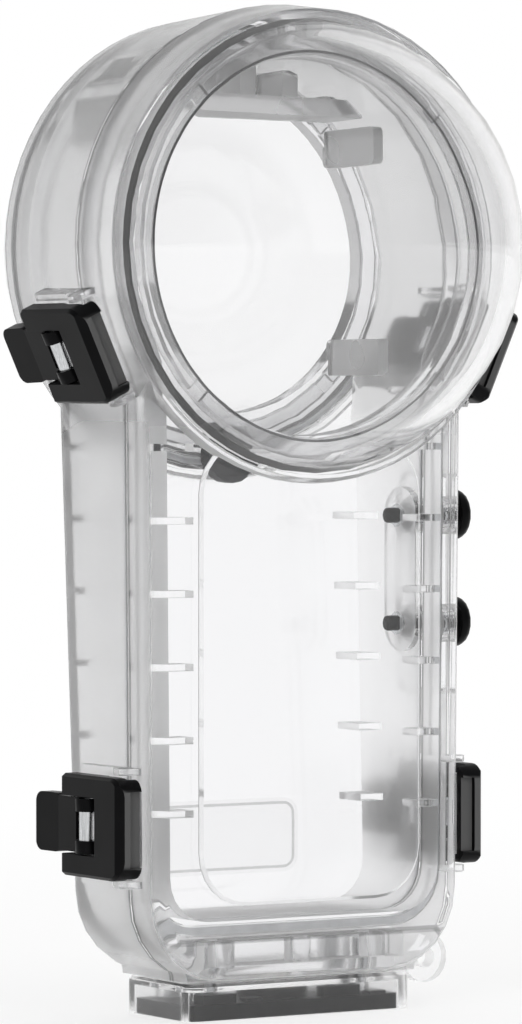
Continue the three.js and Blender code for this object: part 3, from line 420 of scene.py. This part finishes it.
CLEAR_REAR = moulded_clear_plastic(
    "clear rear shell plastic", flank_tone=0.94, drum_tone=0.77, drum_haze_tone=0.6,
)
CLEAR_FRONT = moulded_clear_plastic(
    "clear front shell plastic", flank_tone=0.98, drum_tone=0.93, drum_haze_tone=0.95,
)
CLEAR_DOME = polished_plastic(
    "clear dome plastic", tone=0.985, foot_painted_shade_tone=0.66, rough=0.01, strength=0.01, haze=0.03, haze_tone=0.85,
)
CLEAR_TRIM = polished_plastic(
    "clear trim plastic", tone=0.93, foot_painted_shade_tone=0.75, rough=0.12, strength=0.05, haze=0.06, haze_tone=0.6,
)
FROSTED_FOOT = polished_plastic(
    "frosted foot plastic", tone=0.94, foot_painted_shade_tone=0.94, rough=0.2, strength=0.05, haze=0.03, haze_tone=0.9,
)


# Black plastic

BLACK_SKIN = {
    "wave": 0.08, "grain": 5.0, "share": 0.5, "low": 0.3, "high": 0.38,
    "strength": 0.02, "distance": 0.00003,
}
BLACK_DRIFT = {"scale": 0.12, "detail": 2.0}
BLACK_TONES = {"dark": opaque((0.0022, 0.0022, 0.0025)), "light": opaque((0.004, 0.004, 0.0045))}
BLACK_SPECULAR = 0.07
# how squarely a hook plate's front end must face forward to get its painted light
LIT_END_FACING = (0.9, 0.99)


def black_plastic(name, front_end_painted_light):
    """Black moulded plastic, satin, with a fine grain and painted light on a hook plate's front end: a
    lighter tone on forward-facing end faces in place of a lamp's reflection.
    """
    material, tree = blank_material(name)
    place = object_place(tree)
    rough, normal = skin(tree, place, **BLACK_SKIN)
    tone = mottle(tree, noise(tree, place, **BLACK_DRIFT), **BLACK_TONES)
    depth = node(tree, "ShaderNodeSeparateXYZ", Vector=place).outputs["Y"]
    # painted light: the hook plates' forward-facing front ends get a lighter tone in place of a reflection
    lit_front_end = span(tree, depth, *LIT_END_DEPTHS, 1.0, 0.0)
    end = math_node(tree, "MULTIPLY", facing(tree, LIT_END_FACING), lit_front_end)
    color = blend(tree, end, tone, grey(front_end_painted_light), kind="RGBA")
    shader = node(tree, "ShaderNodeBsdfPrincipled", Base_Color=color, Roughness=rough, Normal=normal)
    shader.inputs["Specular IOR Level"].default_value = BLACK_SPECULAR
    finish_material(tree, shader)
    return material


BLACK = black_plastic("black plastic", front_end_painted_light=0.004)
# the hooks' front ends get painted light; plain black's end tone equals its own
BLACK_HOOK_LIT_END = black_plastic("black hook plastic with painted end light", front_end_painted_light=0.1)


# Film, metal and rubber

FILM_SKIN = {"wave": 0.2, "grain": 4.0, "share": 0.4, "strength": 0.03, "distance": 0.00005}
FILM_GLOSS_SHARE = 0.8
FILM_DARK_SHARE = 0.96
FILM_MOTTLE = {"scale": 0.6, "detail": 2.0}
METAL_LINES = {"scale": 4.0, "detail": 3.0}
METAL_BUMP = {"Strength": 0.08, "Distance": 0.00005}
SOFT_SKIN = {"wave": 0.15, "grain": 6.0, "share": 0.6, "strength": 0.15, "distance": 0.0001}
BLOOM = {"scale": 0.4, "detail": 3.0}
BLOOM_SPREAD = (0.35, 0.7)


def label_film(name, tone, rough, cover):
    """Clear film on the case: an even tone with a faint mottle, covering only in part."""
    material, tree = blank_material(name)
    place = object_place(tree)
    gloss, normal = skin(tree, place, low=FILM_GLOSS_SHARE * rough, high=rough, **FILM_SKIN)
    color = mottle(tree, noise(tree, place, **FILM_MOTTLE), grey(FILM_DARK_SHARE * tone), grey(tone))
    shader = node(tree, "ShaderNodeBsdfPrincipled", Base_Color=color, Roughness=gloss, Normal=normal)
    shader.inputs["Alpha"].default_value = cover
    finish_material(tree, shader)
    return material


def bare_metal(name, dark, light, stretch, low, high):
    """Drawn or turned metal with fine lines along its working."""
    material, tree = blank_material(name)
    lines = noise(tree, object_place(tree, stretch), **METAL_LINES)
    rough = map_range(tree, lines, 0.0, 1.0, low, high)
    bump = node(tree, "ShaderNodeBump", Height=lines, **METAL_BUMP)
    shader = node(
        tree, "ShaderNodeBsdfPrincipled", Base_Color=mottle(tree, lines, opaque(dark), opaque(light)),
        Roughness=rough, Normal=bump.outputs["Normal"],
    )
    shader.inputs["Metallic"].default_value = 1.0
    finish_material(tree, shader)
    return material


def soft_rubber(name, dark, light, low, high):
    """Silicone or rubber with a powdery bloom."""
    material, tree = blank_material(name)
    place = object_place(tree)
    rough, normal = skin(tree, place, low=low, high=high, **SOFT_SKIN)
    color = mottle(tree, noise(tree, place, **BLOOM), opaque(dark), opaque(light), BLOOM_SPREAD)
    shader = node(tree, "ShaderNodeBsdfPrincipled", Base_Color=color, Roughness=rough, Normal=normal)
    finish_material(tree, shader)
    return material


STEEL = bare_metal(
    "stainless steel", dark=(0.5, 0.51, 0.52), light=(0.72, 0.73, 0.74),
    stretch=(1.0, 1.0, 0.1), low=0.18, high=0.32,
)
BRASS = bare_metal(
    "turned brass", dark=(0.5, 0.38, 0.17), light=(0.68, 0.54, 0.28),
    stretch=(1.0, 1.0, 8.0), low=0.22, high=0.38,
)
SILICONE = soft_rubber(
    "pale silicone", dark=(0.62, 0.63, 0.64), light=(0.72, 0.73, 0.74), low=0.4, high=0.55,
)
RUBBER = soft_rubber(
    "dark rubber", dark=(0.03, 0.031, 0.033), light=(0.05, 0.051, 0.054), low=0.6, high=0.75,
)
LABEL_WHITE = label_film("label film", tone=0.9, rough=0.4, cover=0.06)
LABEL_INK = label_film("label outline", tone=0.35, rough=0.4, cover=0.28)


# Dress of the CAD pieces

FINISH_OF_SLOT = {
    "clear_plastic": CLEAR_REAR,
    "black_plastic": BLACK,
    "steel": STEEL,
    "brass": BRASS,
    "pale_silicone": SILICONE,
    "dark_rubber": RUBBER,
}
OWN_FINISH = {
    **{name: BLACK_HOOK_LIT_END for name in frame["nodes"] if name.startswith("hook_") and "pin" not in name},
    "front_shell": CLEAR_FRONT,
    "front_dome": CLEAR_DOME,
    "rear_dome": CLEAR_DOME,
    "front_dome_ring": CLEAR_TRIM,
    "rear_dome_ring": CLEAR_TRIM,
    "foot": FROSTED_FOOT,
}
CREASE = math.radians(34)
ROUNDING_OF_SLOT = {"black_plastic": 0.00028, "dark_rubber": 0.0002}
ROUNDING_STEPS = 2
WELD = 0.000002


def round_off(piece, width):
    """A small radius on a piece's edges, as a mould leaves."""
    bevel = piece.modifiers.new("rounding", "BEVEL")
    bevel.width = width
    bevel.segments = ROUNDING_STEPS
    bevel.limit_method = "ANGLE"
    bevel.angle_limit = CREASE


def dress(name, slot):
    """A node's finish, smooth where it curves and crisp or rounded at its edges."""
    made = frame["nodes"][name]
    made.data.materials.clear()
    made.data.materials.append(OWN_FINISH.get(name, FINISH_OF_SLOT[slot]))
    for face in made.data.polygons:
        face.use_smooth = True
    weld = made.modifiers.new("weld", "WELD")
    weld.merge_threshold = WELD
    if slot in ROUNDING_OF_SLOT:
        round_off(made, ROUNDING_OF_SLOT[slot])
    else:
        split = made.modifiers.new("edges", "EDGE_SPLIT")
        split.split_angle = CREASE
    even = made.modifiers.new("even_normals", "WEIGHTED_NORMAL")
    even.keep_sharp = True


# Pieces of the scene

def new_piece(name, work, finishes):
    """A finished bmesh as a piece of the case."""
    bmesh.ops.recalc_face_normals(work, faces=work.faces[:])
    mesh = bpy.data.meshes.new(name)
    work.to_mesh(mesh)
    work.free()
    piece = bpy.data.objects.new(name, mesh)
    scene.collection.objects.link(piece)
    for finish in finishes:
        mesh.materials.append(finish)
    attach(piece, "case")
    return piece


def smooth(work):
    for face in work.faces:
        face.smooth = True


LABEL_SIZE = (0.035, 0.00015, 0.0137)
LABEL_PLACE = (0.0, 0.01766, 0.03)
LABEL_CORNER = 0.003
LABEL_CORNER_STEPS = 6
ROUND_PROFILE = 0.5
LABEL_RIM = 0.0007
LABEL_LINE = 0.0005


def add_label():
    """Blank film on the outside of the rear wall, with an outline round it on both sides."""
    work = bmesh.new()
    bmesh.ops.create_cube(work, size=1.0, matrix=Matrix.Diagonal((*LABEL_SIZE, 1.0)))
    corners = [e for e in work.edges if e.verts[0].co.y != e.verts[1].co.y]
    bmesh.ops.bevel(work, geom=corners, offset=LABEL_CORNER, segments=LABEL_CORNER_STEPS,
                    profile=ROUND_PROFILE, affect="EDGES", material=-1)
    bmesh.ops.recalc_face_normals(work, faces=work.faces[:])
    for face in [f for f in work.faces if round(abs(f.normal.y)) == 1]:
        bmesh.ops.inset_individual(work, faces=[face], thickness=LABEL_RIM)
        line = bmesh.ops.inset_individual(work, faces=[face], thickness=LABEL_LINE)
        for rim in line["faces"]:
            rim.material_index = 1
    bmesh.ops.translate(work, verts=work.verts[:], vec=LABEL_PLACE)
    new_piece("label", work, (LABEL_WHITE, LABEL_INK))


LIP_RADIUS = 0.03402
LIP_THICKNESS = 0.00022
LIP_DEPTH = -0.02052
LIP_STEPS = 160
LIP_SIDES = 8
LIP_WELD = 0.00001


def add_lip_line():
    """Thin dark seal on the inner edge of the front dome's ring."""
    work = bmesh.new()
    place = Matrix.Translation((LIP_RADIUS, LIP_DEPTH, 0.0))
    bmesh.ops.create_circle(work, radius=LIP_THICKNESS, segments=LIP_SIDES, matrix=place)
    bmesh.ops.spin(work, geom=work.verts[:] + work.edges[:], cent=(0.0, 0.0, 0.0), axis=(0.0, 1.0, 0.0),
                   angle=math.tau, steps=LIP_STEPS, use_merge=True)
    bmesh.ops.remove_doubles(work, verts=work.verts[:], dist=LIP_WELD)
    bmesh.ops.translate(work, verts=work.verts[:], vec=(0.0, 0.0, HEAD_HEIGHT * MM))
    smooth(work)
    new_piece("front_dome_lip_seal", work, (RUBBER,))


def add_springs():
    """The buttons' coils, as smooth copies of their CAD coils, which are hidden."""
    for button in ("upper_button", "lower_button"):
        coil = button + "_spring"
        work = bmesh.new()
        work.from_mesh(frame["nodes"][coil].data)
        bmesh.ops.remove_doubles(work, verts=work.verts[:], dist=WELD)
        smooth(work)
        piece = new_piece(button + "_coil", work, (STEEL,))
        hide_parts(coil)
        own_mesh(piece)


# Surroundings

FLOOR_REACH = 40.0
FLOOR_DRIFT = {"scale": 4.0, "detail": 1.0}
FLOOR_TONES = {"dark": grey(0.86), "light": grey(0.88)}
SHADOW_REACH = (0.13, 0.5)
FLOOR_GLOW = 0.66
WALL_TONES = (
    (0.0, 0.75), (0.1, 0.95), (0.22, 0.28), (0.33, 0.22), (0.42, 0.9), (0.5, 1.0),
    (0.66, 1.0), (0.74, 0.5), (0.8, 0.2), (0.86, 0.3), (0.93, 0.8), (1.0, 0.75),
)
ROOF_RISE = (0.25, 0.9)
ROOF_LIGHT = 0.55
LAMPS = {
    "key_softbox": {"place": (-1.1, -0.7, 0.9), "size": (0.5, 0.9), "power": 6.0},
    "edge_softbox": {"place": (1.0, 0.5, 0.7), "size": (0.3, 0.9), "power": 5.0},
    "top_softbox": {"place": (0.1, -0.2, 1.3), "size": (0.7, 0.7), "power": 4.0},
}
LAMP_TARGET = Vector((0.0, 0.0, 0.1))


def floor_material():
    """Pale floor that takes a shadow near the object and turns pure white farther out."""
    material, tree = blank_material("studio floor")
    where = node(tree, "ShaderNodeTexCoord").outputs["Object"]
    tone = mottle(tree, noise(tree, where, **FLOOR_DRIFT), **FLOOR_TONES)
    body = node(tree, "ShaderNodeBsdfDiffuse", Color=tone)
    glow = node(tree, "ShaderNodeEmission", Color=grey(1.0), Strength=1.0)
    path = node(tree, "ShaderNodeLightPath").outputs
    through = math_node(tree, "MAXIMUM", path["Is Glossy Ray"], path["Is Transmission Ray"])
    seen = math_node(tree, "MAXIMUM", path["Is Camera Ray"], through)
    distance = node(tree, "ShaderNodeVectorMath", Vector=where)
    distance.operation = "LENGTH"
    far = span(tree, distance.outputs["Value"], *SHADOW_REACH, FLOOR_GLOW, 1.0)
    finish_material(tree, mix_shaders(tree, math_node(tree, "MULTIPLY", seen, far), body, glow))
    return material


def add_floor():
    mesh = bpy.data.meshes.new("studio_floor")
    work = bmesh.new()
    bmesh.ops.create_grid(work, x_segments=1, y_segments=1, size=FLOOR_REACH)
    work.to_mesh(mesh)
    work.free()
    floor = bpy.data.objects.new("studio_floor", mesh)
    scene.collection.objects.link(floor)
    mesh.materials.append(floor_material())


def add_world():
    """White behind the object, with soft grey walls at the sides that clear plastic picks up."""
    world = bpy.data.worlds.new("studio")
    scene.world = world
    world.use_nodes = True
    tree = world.node_tree
    tree.nodes.clear()
    direction = node(tree, "ShaderNodeTexCoord").outputs["Generated"]
    parts = node(tree, "ShaderNodeSeparateXYZ", Vector=direction).outputs
    turn = math_node(tree, "ARCTAN2", parts["X"], parts["Y"])
    around = map_range(tree, turn, -math.pi, math.pi)
    walls = ramp(tree, around, [(share, grey(tone)) for share, tone in WALL_TONES])
    up = map_range(tree, parts["Z"], *ROOF_RISE)
    room = blend(tree, up, walls, grey(ROOF_LIGHT), kind="RGBA")
    light = node(tree, "ShaderNodeBackground", Color=room, Strength=1.0)
    white = node(tree, "ShaderNodeBackground", Color=grey(1.0), Strength=1.0)
    seen = node(tree, "ShaderNodeLightPath").outputs["Is Camera Ray"]
    node(tree, "ShaderNodeOutputWorld", Surface=mix_shaders(tree, seen, light, white).outputs[0])


def add_lamp(name, place, size, power):
    """A softbox that lights the object and isn't seen in it or through it."""
    data = bpy.data.lights.new(name, "AREA")
    data.shape = "RECTANGLE"
    data.size, data.size_y = size
    data.energy = power
    lamp = bpy.data.objects.new(name, data)
    scene.collection.objects.link(lamp)
    lamp.visible_glossy = False
    lamp.visible_transmission = False
    aim(lamp, Vector(place), LAMP_TARGET)


add_camera()
add_world()
add_floor()
for name, settings in LAMPS.items():
    add_lamp(name, **settings)

for entry in frame["record"]["subparts"]:
    dress(entry["node"], entry["material_slot"])
add_label()
add_lip_line()
add_springs()
